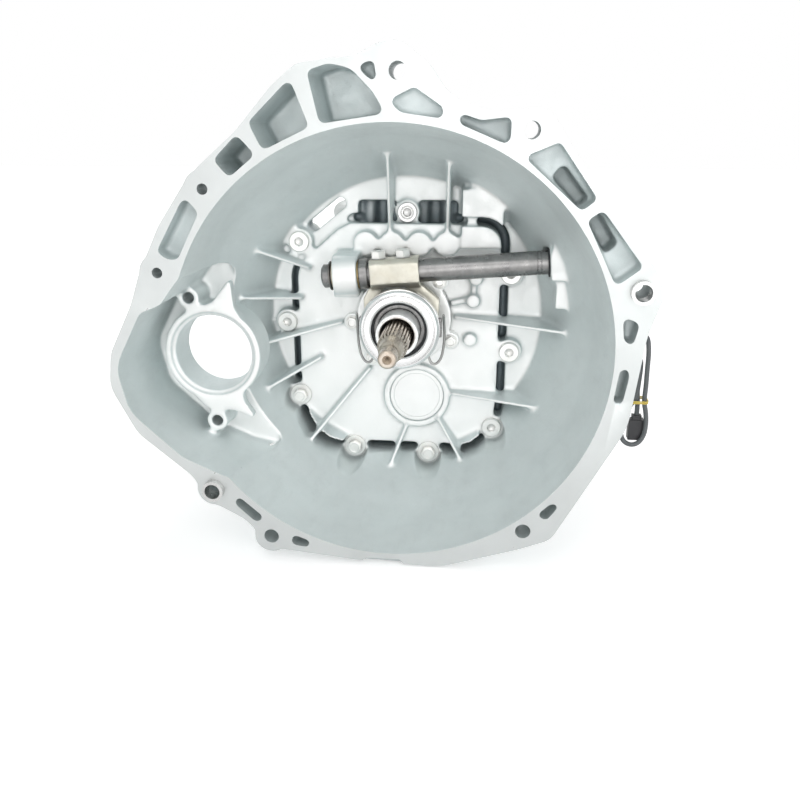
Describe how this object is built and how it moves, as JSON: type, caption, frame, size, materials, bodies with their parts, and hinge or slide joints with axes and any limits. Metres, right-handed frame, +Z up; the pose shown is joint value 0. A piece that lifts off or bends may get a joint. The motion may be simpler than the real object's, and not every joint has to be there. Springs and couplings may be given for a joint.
{
  "type": "manual transmission",
  "caption": "Manual gearbox with open bell housing, splined input shaft, clutch release fork and bearing, constant-mesh gears, shift lever and output flange.",
  "frame": {"origin": "on the input shaft's axis in the plane of the bell housing's mating face", "axes": "+Y back along the input shaft to the output, +Z up, +X right as seen from the engine"},
  "size_m": [0.4448, 0.669, 0.4136],
  "materials": {
    "bell_cast": "die-cast, machined face",
    "case_cast": "die-cast",
    "retainer_alloy": "machined",
    "plated_fastener": "zinc plated",
    "dark_fastener": "oiled",
    "plain_steel": "turned",
    "bearing_steel": "ground",
    "dark_steel": "oiled",
    "shaft_steel": "oil stained",
    "gear_steel": "ground",
    "fork_steel": "forged, plated",
    "wire_steel": "drawn",
    "bronze": "sintered",
    "seal_rubber": "moulded",
    "flange_steel": "phosphated",
    "black_plastic": "moulded",
    "lead_sheath": "extruded",
    "tie_sheath": "twisted",
    "lever_paint": "satin"
  },
  "bodies": {
    "housing": {"bell_housing": "bell_cast", "main_case": "case_cast", "extension_housing": "case_cast", "bearing_retainer": "retainer_alloy", "retainer_bolts": "plated_fastener", "housing_bolts": "plated_fastener", "housing_screws": "plated_fastener", "countershaft_cap": "retainer_alloy", "detent_plug": "plain_steel", "dowels": "plain_steel", "cross_bushings": "bronze", "cross_seal": "seal_rubber", "input_bearing": "bearing_steel", "input_seal": "seal_rubber", "counter_front_bearing": "bearing_steel", "counter_rear_bearing": "bearing_steel", "center_bearing": "bearing_steel", "tail_bearing": "bearing_steel", "idler_pin": "plain_steel", "extension_bolts": "dark_fastener", "shift_tower": "case_cast", "tower_bolts": "dark_fastener", "output_seal": "seal_rubber", "drain_fill_plugs": "dark_fastener", "breather": "plain_steel", "speed_sensor": "black_plastic", "reverse_switch": "plain_steel", "reverse_lead": "lead_sheath", "lead_plug": "black_plastic", "lead_tie": "tie_sheath"},
    "release": {"cross_shaft": "dark_steel", "release_fork": "fork_steel", "fork_bolts": "plated_fastener", "cross_circlip": "dark_steel", "clutch_lever": "lever_paint", "lever_bolt": "plated_fastener"},
    "carrier": {"release_carrier": "dark_steel", "bearing_clips": "wire_steel"},
    "thrust": {"release_bearing": "bearing_steel"},
    "counter": {"countershaft": "gear_steel"},
    "input": {"input_shaft": "shaft_steel"},
    "third": {"gear_third": "gear_steel"},
    "second": {"gear_second": "gear_steel"},
    "first": {"gear_first": "gear_steel"},
    "fifth": {"gear_fifth": "gear_steel"},
    "idler": {"reverse_idler": "gear_steel"},
    "reverse": {"gear_reverse": "gear_steel"},
    "main": {"main_shaft": "gear_steel", "synchro_hubs": "bronze", "output_flange": "flange_steel", "output_nut": "plain_steel"},
    "sleeve_12": {"sleeve_1_2": "gear_steel"},
    "sleeve_34": {"sleeve_3_4": "gear_steel"},
    "sleeve_5r": {"sleeve_5_r": "gear_steel"},
    "fork_12": {"rail_1_2": "plain_steel"},
    "fork_34": {"rail_3_4": "plain_steel"},
    "fork_5r": {"rail_5_r": "plain_steel"},
    "selector": {"selector_rail": "plain_steel"},
    "gate": {"gimbal_ring": "plain_steel"},
    "stick": {"shift_lever": "lever_paint"}
  },
  "joints": [
    {"name": "release_pivot", "type": "hinge", "parent": "housing", "child": "release", "pos_m": [0, 0.112, 0.0475], "axis": [-0.9969, 0, -0.0785], "range_deg": [0, 12]},
    {"name": "release_slide", "type": "slide", "parent": "housing", "child": "carrier", "axis": [0, -1, 0], "range_m": [0, 0.01]},
    {"name": "thrust_spin", "type": "hinge", "parent": "carrier", "child": "thrust", "pos_m": [0, 0.09, 0], "axis": [0, 1, 0], "continuous": true},
    {"name": "counter_spin", "type": "hinge", "parent": "housing", "child": "counter", "pos_m": [0.0122, 0.3, -0.07704], "axis": [0, 1, 0], "continuous": true},
    {"name": "input_spin", "type": "hinge", "parent": "housing", "child": "input", "pos_m": [0, 0, 0], "axis": [0, 1, 0], "continuous": true},
    {"name": "third_spin", "type": "hinge", "parent": "housing", "child": "third", "pos_m": [0, 0.25, 0], "axis": [0, 1, 0], "continuous": true},
    {"name": "second_spin", "type": "hinge", "parent": "housing", "child": "second", "pos_m": [0, 0.3, 0], "axis": [0, 1, 0], "continuous": true},
    {"name": "first_spin", "type": "hinge", "parent": "housing", "child": "first", "pos_m": [0, 0.35, 0], "axis": [0, 1, 0], "continuous": true},
    {"name": "fifth_spin", "type": "hinge", "parent": "housing", "child": "fifth", "pos_m": [0, 0.49, 0], "axis": [0, 1, 0], "continuous": true},
    {"name": "reverse_spin", "type": "hinge", "parent": "housing", "child": "reverse", "pos_m": [0, 0.43, 0], "axis": [0, 1, 0], "continuous": true},
    {"name": "idler_spin", "type": "hinge", "parent": "housing", "child": "idler", "pos_m": [-0.0329, 0.43, -0.06573], "axis": [0, 1, 0], "continuous": true},
    {"name": "main_spin", "type": "hinge", "parent": "housing", "child": "main", "pos_m": [0, 0.4, 0], "axis": [0, 1, 0], "continuous": true},
    {"name": "rail_12_slide", "type": "slide", "parent": "housing", "child": "fork_12", "axis": [0, 1, 0], "range_m": [-0.007, 0.007]},
    {"name": "sleeve_12_slide", "type": "slide", "parent": "main", "child": "sleeve_12", "axis": [0, 1, 0], "range_m": [-0.007, 0.007]},
    {"name": "rail_34_slide", "type": "slide", "parent": "housing", "child": "fork_34", "axis": [0, 1, 0], "range_m": [-0.007, 0.007]},
    {"name": "sleeve_34_slide", "type": "slide", "parent": "main", "child": "sleeve_34", "axis": [0, 1, 0], "range_m": [-0.007, 0.007]},
    {"name": "rail_5r_slide", "type": "slide", "parent": "housing", "child": "fork_5r", "axis": [0, 1, 0], "range_m": [-0.007, 0.007]},
    {"name": "sleeve_5r_slide", "type": "slide", "parent": "main", "child": "sleeve_5r", "axis": [0, 1, 0], "range_m": [-0.007, 0.007]},
    {"name": "selector_slide", "type": "slide", "parent": "housing", "child": "selector", "axis": [0, 1, 0], "range_m": [-0.007, 0.007]},
    {"name": "gate_hinge", "type": "hinge", "parent": "housing", "child": "gate", "pos_m": [0.039, 0.492, 0.122], "axis": [0, 1, 0], "range_deg": [-6, 6], "stiffness_Nm_per_rad": 2},
    {"name": "shift_hinge", "type": "hinge", "parent": "gate", "child": "stick", "pos_m": [0.039, 0.492, 0.122], "axis": [1, 0, 0], "range_deg": [-10, 10]}
  ],
  "couplings": [
    {"joint": "release_slide", "follows": "release_pivot", "m_per_rad": 0.0475},
    {"joint": "input_spin", "follows": "counter_spin", "ratio": -1.1667},
    {"joint": "third_spin", "follows": "counter_spin", "ratio": -0.92593},
    {"joint": "second_spin", "follows": "counter_spin", "ratio": -0.57576},
    {"joint": "first_spin", "follows": "counter_spin", "ratio": -0.36842},
    {"joint": "fifth_spin", "follows": "counter_spin", "ratio": -1.3636},
    {"joint": "idler_spin", "follows": "counter_spin", "ratio": -0.82353},
    {"joint": "reverse_spin", "follows": "counter_spin", "ratio": 0.4375},
    {"joint": "sleeve_12_slide", "follows": "rail_12_slide", "ratio": 1},
    {"joint": "sleeve_5r_slide", "follows": "rail_5r_slide", "ratio": 1},
    {"joint": "sleeve_34_slide", "follows": "shift_hinge", "m_per_rad": 0.039},
    {"joint": "rail_34_slide", "follows": "shift_hinge", "m_per_rad": 0.039},
    {"joint": "selector_slide", "follows": "shift_hinge", "m_per_rad": 0.039}
  ]
}
